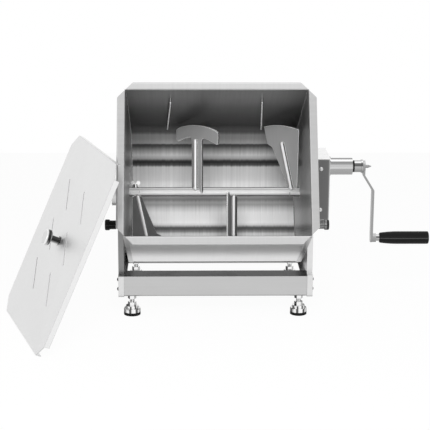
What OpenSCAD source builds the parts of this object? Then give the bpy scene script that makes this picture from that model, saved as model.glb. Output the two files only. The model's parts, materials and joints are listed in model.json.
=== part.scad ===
// Hand-cranked meat mixer: tilting U-shaped tank on a folded base, with a geared agitator and a loose lid.
// Frame: X runs along the agitator to the crank side, Y to the back, Z up. Origin on the floor, midway
// between the four feet. The tank is drawn tipped towards the front, as at rest.

/* [Tank] */
// Length inside the tank, between its end plates
tank_l = 404; // [380:2:412]
// Radius of the round bottom, inside
tank_r = 164; // [156:1:168]
// Height of the straight walls, from the agitator axis to the rim
tank_h = 282; // [250:2:300]
// Sheet thickness of the tank
tank_t = 1.5; // [1:0.1:2]
// Width of the flange around the rim
rim_w = 18; // [12:1:22]
// Turned-down edge of the rim flange
rim_fold = 5; // [3:0.5:8]
// Outer bend radius of the rim
rim_bend = 4; // [3:0.5:5]
// Width of the strips that lap the end plates over the trough
lap_w = 9; // [6:1:14]
// Angle of the seam behind the rear wall, from the rear wall down
seam_angle = 28.6; // [20:0.1:40]
// Tilt of the tank at rest, from upright
tank_tilt = 62.5; // [40:0.5:78]
// Tilt of the tank when fully tipped
tilt_max = 80; // [78:1:84]

/* [Breaker bars] */
// Distance of the breaker bars' upper legs from the end plates
breaker_in = 99; // [80:1:110]
// Splay of the breaker bars, wider towards the bottom
breaker_splay = 2.5; // [0:0.5:4]
// Diameter of the breaker bars
breaker_d = 5; // [4:0.5:7]
// Height of the breaker bars off the wall
breaker_h = 11; // [8:1:16]
// Distance of their upper legs from the rim
breaker_top = 62; // [40:1:90]
// Height of their lower legs above the axis
breaker_low = 8; // [2:1:30]

/* [Pivots] */
// Height of the agitator and tilt axis above the floor
axis_z = 262.5; // [258:0.5:280]
// Place of that axis from the middle of the feet, to the front
axis_front = 16; // [10:1:20]
// Radius of the discs on the tank's end plates
disc_r = 100; // [96:1:110]
// Thickness of those discs
disc_t = 3; // [2:0.5:4]
// Outer diameter of the hollow trunnions
trunnion_d = 44; // [40:1:48]
// Bore of the hollow trunnions
trunnion_bore = 30; // [27:1:34]
// Wall of the bushes in the side frames
bush_wall = 4; // [3:0.5:6]
// Radius of the arc slots and lock pins around the axis
lock_r = 81; // [74:1:88]
// Width of the arc slots
slot_w = 10; // [9.2:0.2:12]

/* [Side frames] */
// Gap between the pivot discs and the side frames
frame_gap = 16.5; // [15:0.5:19]
// Sheet thickness of the side frames
frame_t = 2; // [1.5:0.5:3]
// Depth of the folded edges
frame_lip = 13; // [9:1:15]
// Depth of the base, front to back
base_d = 314; // [300:2:340]
// Height of the underside of the base above the floor
base_z = 45; // [42:1:60]
// Height of the base channel
base_h = 53; // [46:1:53]
// Width of the uprights, front to back
upright_w = 246; // [220:2:260]
// Height of the centre of their round tops
head_z = 236; // [226:1:250]
// Radius of the bottom corners
corner_r = 8; // [5:1:12]

/* [Rails] */
// Sheet thickness of the rails
rail_t = 2; // [1.5:0.5:3]
// Depth of the rail flanges
rail_d = 46; // [40:1:56]
// Cut at the inner corners of the rail flanges
rail_cut = 14; // [6:1:20]
// Width of the end tabs
tab_w = 36; // [32:1:42]
// Spacing of the two bolts at each rail end
bolt_gap = 23; // [18:1:28]
// Diameter of the rail bolts
bolt_d = 6; // [5:1:8]
// Distance of the rail bolts from the base ends
bolt_in = 22; // [18:1:26]

/* [Feet] */
// Distance of the feet from the outer faces of the side frames
foot_in_x = 31; // [28:1:40]
// Distance of the feet from the front and back of the base
foot_in_y = 18; // [16:1:26]
// Diameter of the foot studs
stud_d = 10; // [8:1:12]
// Width of the foot nuts across their flats
nut_af = 17; // [15:1:19]
// Thickness of the foot nuts
nut_h = 8.5; // [6:0.5:10]
// Diameter of the metal foot cups
cup_d = 38.8; // [34:0.4:44]
// Height of the top of the foot cups above the floor
cup_z = 22; // [18:1:24]
// Thickness of the rubber pads
pad_h = 8; // [5:0.5:10]
// Height of the stud ends above the underside of the rails
stud_top = 18; // [14:1:30]

/* [Gearbox] */
// Gear module
gear_m = 2; // [2:0.1:2]
// Teeth of the gear on the agitator
gear_z = 46; // [44:2:46]
// Teeth of the pinion on the crank shaft
pinion_z = 16; // [16:1:17]
// Width of the gear teeth
gear_w = 14; // [10:1:16]
// Play between the teeth, measured on the pitch circle
backlash = 0.3; // [0.2:0.05:0.5]
// Depth of the gear cover from the side frame
cover_x = 42; // [40:1:50]
// Width of the gear cover, front to back
cover_w = 122; // [116:2:130]
// Reach of the gear cover below the axis
cover_low = 54; // [53:1:60]
// Reach of the gear cover above the axis
cover_high = 94; // [90:1:100]
// Sheet thickness of the gear cover
cover_t = 2; // [1.5:0.5:3]
// Edge radius of the gear cover
cover_r = 4; // [2:0.5:6]
// Distance of the cover screws from the cover's ends
screw_in = 25; // [22:1:30]
// Thickness of the gear plate
plate_t = 3; // [2:0.5:4]
// Distance of the gear plate's upper screws from the cover's top
plate_screw_in = 34; // [32:1:40]
// Diameter of the screws' domed heads
head_d = 11; // [8:0.5:12]
// Diameter of the screws
screw_d = 4; // [3:0.5:5]

/* [Agitator] */
// Diameter of the agitator shaft
shaft_d = 22; // [18:1:24]
// Length of the half-lap joints at its ends
lap_l = 25; // [20:1:25]
// Gap at the ends of those joints
lap_gap = 1.5; // [0.5:0.5:2]
// Gap between the paddles' sweep and the trough
blade_gap = 6; // [4:0.5:12]
// Thickness of the paddle blades
blade_t = 4; // [3:0.5:6]
// Pitch of the paddles to the shaft
blade_pitch = 52; // [45:1:60]
// Radial height of the middle blades
band_h = 28; // [20:1:36]
// Half length of the middle blades
blade_half = 79; // [60:1:80]
// Half width of the middle blades' stems
stem_half = 19; // [14:1:24]
// Place of the middle paddles from the middle
mid_x = 41; // [36:1:44]
// Distance of the end paddles' feet from the end plates
end_in = 14; // [13:1:18]
// Reach of the end paddles' fans on their wide side
fan_in = 56; // [50:1:66]
// Height of the fans' wide edge
fan_h = 28; // [20:1:40]
// Place of the neck below the fans, on their wide side
fan_neck = 28; // [20:1:34]
// Height of that neck above the axis
fan_neck_z = 66; // [50:1:90]
// Reach of the paddle feet on the same side
fan_foot = 14; // [8:1:18]
// Reach of the paddle feet on the other side
fan_foot_out = 30; // [20:1:40]
// Lean of the end paddles away from the end plates
end_lean = 12; // [8:1:14]
// Diameter of the paddle rods
rod_d = 10; // [7:1:12]
// Clearance between end paddles and end plates
end_gap = 7; // [2:0.5:9]
// Turn of the agitator at rest, back from upright
agitator_turn = 8; // [0:1:20]
// Diameter of the wing screw
wing_d = 6; // [5:0.5:8]
// Span of its wings
wing_span = 24; // [18:1:26]

/* [Crank] */
// Diameter of the crank shaft
crank_d = 16; // [12:1:18]
// Diameter of the crank housing tube
housing_d = 40; // [34:1:44]
// Length of the crank housing outside the cover
housing_l = 58; // [40:1:80]
// Diameter of the collar on the crank shaft
collar_d = 28; // [24:1:32]
// Length of that collar
collar_l = 20; // [14:1:30]
// Crank radius, from the shaft to the grip
crank_r = 176; // [120:2:190]
// Thickness of the crank arm
arm_t = 5; // [4:0.5:8]
// Width of the crank arm
arm_w = 22; // [16:1:26]
// Outward step of the crank arm
arm_step = 23; // [10:1:30]
// Where the step starts below the crank shaft
arm_bend_1 = 21; // [18:1:30]
// Where the step ends below the crank shaft
arm_bend_2 = 58; // [50:1:80]
// Diameter of the grip pin
pin_d = 10; // [8:1:12]
// Length of the grip
grip_l = 118; // [90:2:130]
// Diameter of the grip at the arm
grip_d1 = 24; // [22:1:30]
// Diameter of the grip at its widest
grip_d2 = 30.5; // [26:0.5:36]
// Where the grip reaches that width
grip_swell = 45; // [25:1:60]
// Length of the threaded end outside the crank arm, without its point
crank_end = 8; // [4:1:14]

/* [Tilt locks] */
// Diameter of the lock pins
lock_d = 8; // [6:0.5:8.6]
// Diameter of the lock barrels
barrel_d = 16; // [13:1:20]
// Diameter of the knob necks
neck_d = 21; // [16:1:24]
// Diameter of the knob heads
knob_d = 26; // [22:1:32]
// Travel of the lock pins
lock_travel = 12.5; // [6:0.5:13]

/* [Lid] */
// Sheet thickness of the lid
lid_t = 1.5; // [1:0.1:2]
// Side clearance of the lid around the rim
lid_gap = 1; // [0.5:0.25:2]
// Depth of the lid's folded edges
lid_fold = 12; // [8:1:14]
// Cut at the lid's corners
lid_cut = 30; // [20:1:40]
// Length of the slots in the lid
lid_slot_l = 86; // [60:2:90]
// Width of the slots in the lid
lid_slot_w = 5; // [4.5:0.5:7]
// Spacing of the slots along the lid
lid_slot_x = 97; // [90:1:110]
// Spacing of the slots across the lid
lid_slot_y = 129; // [110:1:150]
// Diameter of the lid knob
lid_knob_d = 36; // [28:1:44]
// Height of the lid knob
lid_knob_h = 34; // [24:1:38]
// Lean of the lid from the floor, as it stands beside the mixer
lid_lean = 65.6; // [64:0.1:68]
// Turn of the standing lid
lid_yaw = 18.4; // [17:0.1:20]
// Distance of its front lower corner from the left side frame
lid_off = 156; // [154:1:180]
// Distance of that corner in front of the base
lid_ahead = 292; // [289:1:310]

/* [Fits] */
// Radial clearance of running fits
run_fit = 0.05; // [0.03:0.01:0.1]
// Clearance between pieces that seat on each other
seat = 0.1; // [0.05:0.05:0.3]

/* [Hidden] */
$fn = 96;
eps = 0.01;
axis_y = -axis_front;
rail_h = base_h - 2 * (frame_t + seat);
rail_z = base_z + frame_t + seat;
half_l = tank_l / 2;
end_face = half_l + tank_t;
disc_x = end_face + disc_t;
web_x = disc_x + frame_gap;
frame_x = web_x + frame_t;
foot_x = frame_x - foot_in_x;
foot_y = base_d / 2 - foot_in_y;
blade_r = tank_r - blade_gap;
end_x = half_l - end_in;
breaker_x = half_l - breaker_in;
bush_od = trunnion_d + 2 * run_fit + 2 * bush_wall;
plate_x = frame_x + plate_t;
cover_face = frame_x + cover_x;
centre_d = gear_m * (gear_z + pinion_z) / 2;
crank_z = axis_z + centre_d;
gear_x = plate_x + 8;
gear_end = gear_x + gear_w;
trunnion_end = plate_x + 1;
housing_end = cover_face + housing_l;
collar_x = housing_end + 5;
eye_x = collar_x + collar_l;
arm_x0 = eye_x + 1 + arm_t / 2;
arm_x1 = arm_x0 + arm_step;
boss_x = arm_x1 + arm_t / 2 + 8.5;
grip_x = boss_x + 8.5;
lid_l = tank_l + 2 * (rim_w + lid_gap + lid_t);
lid_w = 2 * (tank_r + rim_w + lid_gap + lid_t);
barrel_end = frame_x + 8;
knob_in = barrel_end + 2;
lock_tip = end_face + 0.5;
boss_d = arm_w - 1;
lid_left = frame_x + lid_off;
lid_front = base_d / 2 + lid_ahead;
// Play of the lock pins beyond the tilt stops, in degrees
slot_play = 1.2;
// The pivot cap's flange, tube and screw circle
cap_flange_d = 2 * trunnion_d + 2;
cap_d = bush_od + 12;
cap_screw_r = (cap_flange_d + cap_d) / 4;
cap_l = 18;

// Placing
module at_axis() { translate([0, axis_y, axis_z]) children(); }
module at_crank() { translate([0, axis_y, crank_z]) children(); }
module tipped() { at_axis() rotate([tank_tilt, 0, 0]) children(); }
module turned() { at_axis() rotate([-agitator_turn, 0, 0]) children(); }
module both_sides() { children(); mirror([1, 0, 0]) children(); }
module front_back() { children(); mirror([0, 1, 0]) children(); }
// A profile drawn in Y and Z, drawn out from x0 to x1
module along_x(x0, x1) { translate([x0, 0, 0]) rotate([90, 0, 90]) linear_extrude(x1 - x0) children(); }
// A round bar along X
module bar_x(d, x0, x1) { translate([x0, 0, 0]) rotate([0, 90, 0]) cylinder(d = d, h = x1 - x0); }
module ring_x(d, bore, x0, x1) {
    difference() {
        bar_x(d, x0, x1);
        bar_x(bore, x0 - 1, x1 + 1);
    }
}
module hex_x(af, x0, x1) {
    translate([x0, 0, 0]) rotate([0, 90, 0]) cylinder(r = af / 2 / cos(30), h = x1 - x0, $fn = 6);
}

// Tank
module u_area(r) {
    circle(r);
    translate([-r, 0]) square([2 * r, tank_h - rim_bend]);
}
module u_wall(r) {
    difference() {
        u_area(r + tank_t);
        circle(r);
        translate([-r, 0]) square([2 * r, tank_h]);
    }
}
// The side of the seam that holds the rear wall
module seam_side() {
    far = 3 * tank_r;
    polygon([[0, 0], [far * cos(seam_angle), -far * sin(seam_angle)], [far, 0], [far, far], [0, far]]);
}
// Bend, flange and turned edge, drawn outwards from a wall whose inner face is at 0
module rim_profile() {
    translate([rim_bend, tank_h - rim_bend]) intersection() {
        difference() {
            circle(rim_bend);
            circle(rim_bend - tank_t);
        }
        translate([-rim_bend, 0]) square(rim_bend);
    }
    translate([rim_bend, tank_h - tank_t]) square([rim_w - 2 * rim_bend, tank_t]);
    translate([rim_w - rim_bend, tank_h - rim_bend]) {
        intersection() {
            difference() {
                circle(rim_bend);
                circle(rim_bend - tank_t);
            }
            square(rim_bend);
        }
        translate([rim_bend - tank_t, -rim_fold]) square([tank_t, rim_fold]);
    }
}
// One side of the rim, with its ends cut at 45 degrees; its inner edge lies along X at y = 0
module rim_side(len) {
    intersection() {
        rotate([90, 0, 90]) translate([0, 0, -len / 2]) linear_extrude(len) rim_profile();
        linear_extrude(2 * tank_h)
            polygon([[-len / 2, 0], [len / 2, 0], [len / 2 - rim_w, rim_w], [rim_w - len / 2, rim_w]]);
    }
}
module tank_sheet() {
    along_x(-half_l, half_l) intersection() {
        u_wall(tank_r);
        children();
    }
}
module tank_rear_wall() {
    color("silver") tipped() {
        tank_sheet() seam_side();
        translate([0, tank_r, 0]) rim_side(tank_l);
    }
}
module tank_trough() {
    color("silver") tipped() {
        tank_sheet() difference() {
            square(6 * tank_r, center = true);
            seam_side();
        }
        translate([0, -tank_r, 0]) rotate([0, 0, 180]) rim_side(tank_l);
    }
}
module tank_end() {
    difference() {
        union() {
            along_x(half_l, end_face) u_area(tank_r + 2 * tank_t + seat);
            // strip that laps over the outside of the trough
            along_x(half_l - lap_w, end_face) intersection() {
                u_wall(tank_r + tank_t + seat);
                translate([-2 * tank_r, -2 * tank_r])
                    square([4 * tank_r, 2 * tank_r + tank_h - 2 * rim_bend - rim_fold]);
            }
            translate([half_l, 0, 0]) rotate([0, 0, -90]) rim_side(2 * tank_r);
        }
        bar_x(trunnion_bore, half_l - 1, end_face + 1);
    }
}
module tank_end_right() { color("silver") tipped() tank_end(); }
module tank_end_left() { color("silver") tipped() mirror([1, 0, 0]) tank_end(); }

// Arc slot that the lock pin runs in; its ends are the tilt stops
function arc_points(r, a0, a1, n) =
    [for (i = [0:n]) let (a = a0 + (a1 - a0) * i / n) [r * cos(a), r * sin(a)]];
module arc_slot() {
    a0 = -90 + slot_play;
    a1 = -90 - tilt_max - slot_play;
    w = slot_w / 2;
    cap = arc_points(w, 0, -180, 12);
    polygon(concat(
        arc_points(lock_r + w, a0, a1, 30),
        [for (i = [1:11]) turn_point(cap[i], a1)],
        arc_points(lock_r - w, a1, a0, 30),
        [for (i = [11:-1:1]) turn_point([cap[i][0], -cap[i][1]], a0)]
    ));
}
// a point near the origin, moved out to the slot's radius and turned about the axis
function turn_point(p, a) =
    [(lock_r + p[0]) * cos(a) - p[1] * sin(a), (lock_r + p[0]) * sin(a) + p[1] * cos(a)];
module pivot_disc(out) {
    along_x(end_face, disc_x) difference() {
        circle(disc_r);
        circle(d = trunnion_bore);
        arc_slot();
    }
    ring_x(trunnion_d, trunnion_bore, disc_x, out);
}
module pivot_disc_right() { color("gainsboro") tipped() pivot_disc(trunnion_end); }
module pivot_disc_left() { color("gainsboro") tipped() mirror([1, 0, 0]) pivot_disc(frame_x + 1); }
module breaker_bars() {
    len = tank_h - breaker_top - breaker_low;
    color("white") tipped() for (s = [-1, 1])
        translate([s * breaker_x, tank_r, tank_h - breaker_top]) rotate([0, -s * breaker_splay, 0]) {
            for (z = [0, -len])
                translate([0, 0, z]) rotate([90, 0, 0]) cylinder(d = breaker_d, h = breaker_h);
            for (z = [0, -len]) translate([0, -breaker_h, z]) sphere(d = breaker_d, $fn = 48);
            translate([0, -breaker_h, -len]) cylinder(d = breaker_d, h = len);
        }
}
module shaft_bush(out) { ring_x(trunnion_bore - 2 * run_fit, shaft_d + 2 * run_fit, half_l, out); }
module shaft_bush_right() { color("white") tipped() shaft_bush(trunnion_end - 0.5); }
module shaft_bush_left() { color("white") tipped() mirror([1, 0, 0]) shaft_bush(frame_x + 0.5); }

// Side frames
module frame_area(inset) {
    hd = base_d / 2 - inset;
    hu = upright_w / 2 - inset;
    cr = corner_r - inset;
    z0 = base_z + inset;
    z1 = base_z + base_h - inset;
    translate([-hd, z0 + cr]) square([2 * hd, z1 - z0 - cr]);
    translate([cr - hd, z0]) square([2 * (hd - cr), cr + 1]);
    for (s = [-1, 1]) translate([s * (hd - cr), z0 + cr]) circle(cr);
    translate([axis_y - hu, z1 - 10]) square([2 * hu, head_z - z1 + 10]);
    translate([axis_y, head_z]) circle(hu);
}
module side_frame() {
    difference() {
        union() {
            along_x(web_x, frame_x) frame_area(0);
            along_x(frame_x - frame_lip, frame_x) difference() {
                frame_area(0);
                frame_area(frame_t);
            }
        }
        at_axis() bar_x(bush_od + 2 * seat, 0, 2 * frame_x);
        at_lock() bar_x(barrel_d - 4 + 2 * seat, 0, 2 * frame_x);
        at_rail_bolts() bar_x(bolt_d + 2 * seat, 0, 2 * frame_x);
    }
}
module side_frame_left() {
    color("lightgray") mirror([1, 0, 0]) difference() {
        side_frame();
        at_cap_screws() bar_x(screw_d + 2 * seat, web_x - 1, frame_x + 1);
    }
}
module side_frame_right() {
    color("lightgray") difference() {
        side_frame();
        at_plate_screws() bar_x(screw_d + 2 * seat, web_x - 1, frame_x + 1);
    }
}
module at_lock() { translate([0, axis_y, axis_z - lock_r]) children(); }
module at_rail_bolts() {
    for (s = [-1, 1], u = [-1, 1])
        translate([0, s * (base_d / 2 - bolt_in), base_z + base_h / 2 + u * bolt_gap / 2]) children();
}
module at_cap_screws() {
    at_axis() for (a = [90, 210, 330]) rotate([a, 0, 0]) translate([0, 0, cap_screw_r]) children();
}
module at_plate_screws() {
    at_axis() for (s = [-1, 1], z = [2 * screw_d - cover_low, cover_high - plate_screw_in])
        translate([0, s * (cover_w / 2 - head_d), z]) children();
}

// Rails
// What the folded edges of the side frames leave for a rail, up to a width w
module rail_area(inset, w) {
    intersection() {
        frame_area(frame_t + seat + inset);
        translate([-base_d, rail_z + inset]) square([base_d / 2 + frame_t + seat + w, rail_h - 2 * inset]);
    }
}
module rail() {
    y0 = -base_d / 2 + frame_t + seat;
    len = web_x - seat;
    difference() {
        union() {
            along_x(-len, len) difference() {
                rail_area(0, rail_d);
                rail_area(rail_t, rail_d + 1);
            }
            both_sides() along_x(len - rail_t, len) rail_area(0, tab_w);
        }
        // corner cuts of the flanges
        both_sides() translate([len, y0 + rail_d, rail_z - 1]) rotate([0, 0, 45])
            cube([rail_cut * 1.4142, rail_cut * 1.4142, 2 * rail_h + 4], center = true);
        both_sides() at_rail_bolts() bar_x(bolt_d + 2 * seat, web_x - 10, frame_x);
        both_sides() translate([foot_x, -foot_y, rail_z - 1])
            cylinder(d = stud_d + 2 * seat, h = rail_t + 2);
    }
}
module front_rail() { color("lightgray") rail(); }
module rear_rail() { color("lightgray") mirror([0, 1, 0]) rail(); }
module rail_bolts() {
    color("gray") both_sides() at_rail_bolts() {
        translate([frame_x, 0, 0]) domed_screw(2 * bolt_d - 1, 2, bolt_d, frame_x - web_x + rail_t + 7);
        hex_x(10, web_x - rail_t - seat - 5, web_x - rail_t - seat);
    }
}

// Feet
module at_feet() {
    for (s = [-1, 1], u = [-1, 1]) translate([s * foot_x, u * foot_y, 0]) children();
}
module foot_studs() {
    color("gainsboro") at_feet() translate([0, 0, cup_z - 4])
        cylinder(d = stud_d, h = rail_z + stud_top - cup_z + 4);
}
module foot_nuts() {
    color("gainsboro") at_feet() difference() {
        union() {
            for (z = [rail_z - nut_h - seat, rail_z + rail_t + seat, cup_z])
                translate([0, 0, z]) cylinder(r = nut_af / 2 / cos(30), h = nut_h, $fn = 6);
        }
        cylinder(d = stud_d, h = 2 * rail_z);
    }
}
module foot_cups() {
    r = cup_d / 2;
    color("gainsboro") at_feet() rotate_extrude() difference() {
        union() {
            translate([0, pad_h - 1]) square([r, 6]);
            translate([0, pad_h + 5]) square([r - 5, cup_z - pad_h - 5]);
            translate([r - 5, pad_h + 5]) circle(5, $fn = 48);
            translate([0, cup_z - 4]) square([r - 8, 4]);
        }
        square([stud_d / 2, cup_z + 1]);
        square([r - 1.5, pad_h]);
        translate([r - 5 + 6, cup_z]) circle(6, $fn = 48);
        translate([r - 5, pad_h + 8]) square([10, cup_z]);
    }
}
module foot_pads() {
    color("black") at_feet() {
        cylinder(d = cup_d - 3, h = pad_h);
        cylinder(d = cup_d, h = pad_h - 1 - seat);
    }
}

// Frame bushes, pivot cap and lock barrels
module frame_bush(out) {
    at_axis() {
        ring_x(bush_od, trunnion_d + 2 * run_fit, web_x - 2, out);
        ring_x(bush_od + 8, trunnion_d + 2 * run_fit, web_x - 2, web_x);
    }
}
module frame_bush_right() { color("ivory") frame_bush(plate_x + 1.5); }
module frame_bush_left() { color("ivory") mirror([1, 0, 0]) frame_bush(frame_x + 1.5); }
module pivot_cap() {
    color("lightgray") mirror([1, 0, 0]) difference() {
        at_axis() difference() {
            union() {
                bar_x(cap_flange_d, frame_x, frame_x + plate_t);
                bar_x(cap_d, frame_x, frame_x + cap_l);
            }
            bar_x(cap_d - 2 * plate_t, frame_x - 1, frame_x + cap_l - plate_t);
        }
        at_cap_screws() bar_x(screw_d + 2 * seat, frame_x - 1, frame_x + plate_t + 1);
    }
}
// A screw along X: its domed head stands on x = 0, and its shank goes back from there
module domed_screw(head, sink, shank, len) {
    rotate([0, 90, 0]) rotate_extrude() {
        translate([0, -len]) square([shank / 2, len + 1]);
        intersection() {
            translate([0, -sink]) circle(sqrt(head * head / 4 + sink * sink));
            square(head);
        }
    }
}
module pan_screw(len) { domed_screw(head_d, 0.32 * head_d, screw_d, len); }
module cap_screws() {
    color("gray") mirror([1, 0, 0]) at_cap_screws() translate([frame_x + plate_t, 0, 0]) pan_screw(8);
}
module lock_barrel() {
    at_lock() difference() {
        union() {
            bar_x(barrel_d - 4, web_x - 4, barrel_end);
            hex_x(barrel_d, frame_x, barrel_end);
        }
        bar_x(lock_d + 2 * run_fit, web_x - 5, barrel_end + 1);
    }
}
module lock_barrel_right() { color("silver") lock_barrel(); }
module lock_barrel_left() { color("silver") mirror([1, 0, 0]) lock_barrel(); }

// Gearbox
module gear_plate() {
    h = cover_low + cover_high - 2 * (cover_t + seat);
    w = cover_w - 2 * (cover_t + seat);
    color("silver") difference() {
        union() {
            at_axis() {
                translate([frame_x, -w / 2, cover_t + seat - cover_low]) cube([plate_t, w, h]);
                front_back() translate([plate_x - eps, w / 2 - 2, cover_t + seat - cover_low])
                    cube([0.7 * cover_x - plate_t, 2, h]);
            }
            at_crank() bar_x(crank_d + 14, plate_x - eps, gear_x - 1);
        }
        at_axis() bar_x(bush_od + 2 * seat, 0, plate_x + 1);
        at_crank() bar_x(crank_d + 6 + 2 * seat, frame_x + 1, gear_x);
        at_plate_screws() bar_x(screw_d + 2 * seat, frame_x - 1, plate_x + 1);
        at_cover_screws() bar_x(screw_d + 2 * seat, -20, 20);
    }
}
// X then points out of the front or rear face of the cover
module at_cover_screws() {
    at_axis() for (a = [-90, 90], z = [screw_in - cover_low, cover_high - screw_in])
        translate([frame_x + cover_x / 2, 0, z]) rotate([0, 0, a])
            translate([cover_w / 2, 0, 0]) children();
}
module plate_screws() { color("gray") at_plate_screws() translate([plate_x, 0, 0]) pan_screw(8); }
// A square with round corners, from its lowest corner
module round_square(w, h, r) {
    translate([r, 0]) square([w - 2 * r, h]);
    translate([0, r]) square([w, h - 2 * r]);
    for (x = [r, w - r], y = [r, h - r]) translate([x, y]) circle(r, $fn = 64);
}
module gear_cover() {
    h = cover_low + cover_high;
    x0 = frame_x + seat;
    color("gainsboro") difference() {
        at_axis() intersection() {
            along_x(x0, cover_face) translate([-cover_w / 2, -cover_low]) round_square(cover_w, h, cover_r);
            translate([x0 - 2 * cover_r, -cover_w / 2, -cover_low])
                linear_extrude(h) round_square(cover_face - x0 + 2 * cover_r, cover_w, cover_r);
        }
        at_axis() translate([0, cover_t - cover_w / 2, cover_t - cover_low])
            cube([cover_face - cover_t, cover_w - 2 * cover_t, h - 2 * cover_t]);
        at_crank() bar_x(housing_d + 2 * seat, cover_face - 10, cover_face + 1);
        at_cover_screws() bar_x(screw_d + 2 * seat, -10, 1);
    }
}
module cover_screws() { color("white") at_cover_screws() pan_screw(9); }
module crank_housing() {
    color("silver") at_crank() difference() {
        union() {
            bar_x(housing_d, cover_face - cover_t - 5, housing_end);
            bar_x(housing_d + 6, cover_face, cover_face + 6);
        }
        bar_x(crank_d + 8 + 2 * seat, 0, housing_end + 1);
    }
}
module crank_bush_inner() {
    color("white") at_crank() ring_x(crank_d + 6, crank_d + 2 * run_fit, frame_x + 1, gear_x - 1);
}
module crank_bush_outer() {
    color("black") at_crank() {
        ring_x(crank_d + 8, crank_d + 2 * run_fit, cover_face - cover_t - 5, housing_end);
        ring_x(crank_d + 12, crank_d + 2 * run_fit, housing_end, collar_x - 0.4);
    }
}

// Spur gears: involute flanks, drawn about the origin
pressure = 20;
function inv(a) = tan(a) * 180 / PI - a;
function mesh_angle(r, rb) = r <= rb ? 0 : acos(rb / r);
function half_tooth(r, z) = 90 / z - backlash / (gear_m * z) * 90 / PI + inv(pressure)
    - inv(mesh_angle(r, gear_m * z / 2 * cos(pressure)));
function flank_radii(z) = let (rp = gear_m * z / 2, r0 = rp - 0.75 * gear_m, r1 = rp + 0.9 * gear_m)
    [for (i = [0:4]) r0 + (r1 - r0) * i / 4];
function gear_points(z) = let (rr = flank_radii(z), root = gear_m * z / 2 - 1.2 * gear_m)
    [for (k = [0:z - 1], s = [-1, 1], i = [0:5])
        let (j = s < 0 ? i : 5 - i, r = j == 0 ? root : rr[j - 1],
             a = k * 360 / z + s * half_tooth(max(r, rr[0]), z))
        [r * cos(a), r * sin(a)]];
module gear_shape(z) { polygon(gear_points(z)); }

module drive_gear() {
    color("dimgray") at_axis() difference() {
        union() {
            along_x(gear_x, gear_end) rotate(90) gear_shape(gear_z);
            bar_x(shaft_d + 12, trunnion_end + 1, gear_x + 1);
        }
        bar_x(shaft_d + 2 * seat, 0, cover_face);
        for (a = [0:60:300])
            rotate([a, 0, 0]) translate([0, 0, gear_m * gear_z / 3])
                bar_x(gear_m * gear_z / 6, 0, cover_face);
    }
}
module crank_pinion() {
    color("dimgray") at_crank() difference() {
        along_x(gear_x, gear_end)
            rotate(pinion_z % 2 == 0 ? -90 + 180 / pinion_z : 90) gear_shape(pinion_z);
        bar_x(crank_d + 2 * seat, 0, cover_face);
    }
}
module gear_nut() {
    color("gray") at_axis() difference() {
        hex_x(28, gear_end + seat, gear_end + 6);
        bar_x(shaft_d - 4, 0, cover_face);
    }
}

// Agitator
module agitator_shaft() {
    color("silver") turned() difference() {
        bar_x(shaft_d, -half_l + 2, half_l - 2);
        for (a = [0, 180]) rotate([0, a, 0]) translate([half_l - lap_l, -shaft_d, -2 * shaft_d])
            cube([lap_l, 2 * shaft_d, 2 * shaft_d + run_fit]);
        translate([-end_x, 0, -shaft_d]) cylinder(d = wing_d + 2 * run_fit, h = 2 * shaft_d, $fn = 48);
    }
}
module stub(out, nut_l) {
    bar_x(shaft_d, half_l - 1, out);
    bar_x(shaft_d - 4, out - eps, out + nut_l);
    intersection() {
        bar_x(shaft_d, half_l - lap_l + lap_gap, half_l);
        translate([0, -shaft_d, -2 * shaft_d]) cube([2 * half_l, 2 * shaft_d, 2 * shaft_d - run_fit]);
    }
}
module drive_stub() { color("gainsboro") turned() stub(gear_end, 7); }
module idle_stub() {
    color("gainsboro") turned() difference() {
        union() {
            rotate([0, 180, 0]) stub(frame_x + 1.2, 3);
            rotate([0, 180, 0]) bar_x(shaft_d + 8, frame_x + 1.2, frame_x + 4);
        }
        translate([-end_x, 0, -shaft_d]) cylinder(d = wing_d + 2 * run_fit, h = 2 * shaft_d, $fn = 48);
    }
}
// A flat blade through the stem axis Z, pitched to the shaft; u runs along the blade, w up the stem
module pitched() {
    rotate([0, 0, -blade_pitch]) rotate([90, 0, 0]) linear_extrude(blade_t, center = true) children();
}
module swept(r) { rotate([0, 90, 0]) cylinder(r = r, h = 3 * tank_l, center = true, $fn = 180); }
module paddle_rod(len) {
    rotate([0, 0, -blade_pitch]) translate([0, 1 - blade_t / 2 - rod_d / 2, 0]) {
        cylinder(d = rod_d, h = len, $fn = 48);
        translate([0, 0, len]) sphere(d = rod_d, $fn = 48);
    }
}
module paddle_mid() {
    r0 = blade_r - band_h;
    f = 10;
    k = 8;
    difference() {
        union() {
            difference() {
                pitched() {
                    translate([k - blade_half, 0]) square([2 * (blade_half - k), blade_r + 2]);
                    for (s = [-1, 1]) {
                        translate([s * (blade_half - k), r0 - 6]) circle(k);
                        translate([s * (blade_half - k), blade_r - 2.4 * k]) circle(k);
                        translate([s * (blade_half - k) - k, r0 - 6]) square([2 * k, band_h - 1.6 * k + 2]);
                    }
                }
                swept(r0);
            }
            pitched() {
                translate([-stem_half, 0]) square([2 * stem_half, blade_r - 4]);
                for (s = [-1, 1]) difference() {
                    translate([s * (stem_half + f / 2), r0 - f / 2]) square(f, center = true);
                    translate([s * (stem_half + f), r0 - f]) circle(f);
                }
            }
            paddle_rod(r0 - 9);
        }
        swept(shaft_d / 2);
        difference() {
            swept(2 * blade_r);
            swept(blade_r);
        }
    }
}
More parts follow.
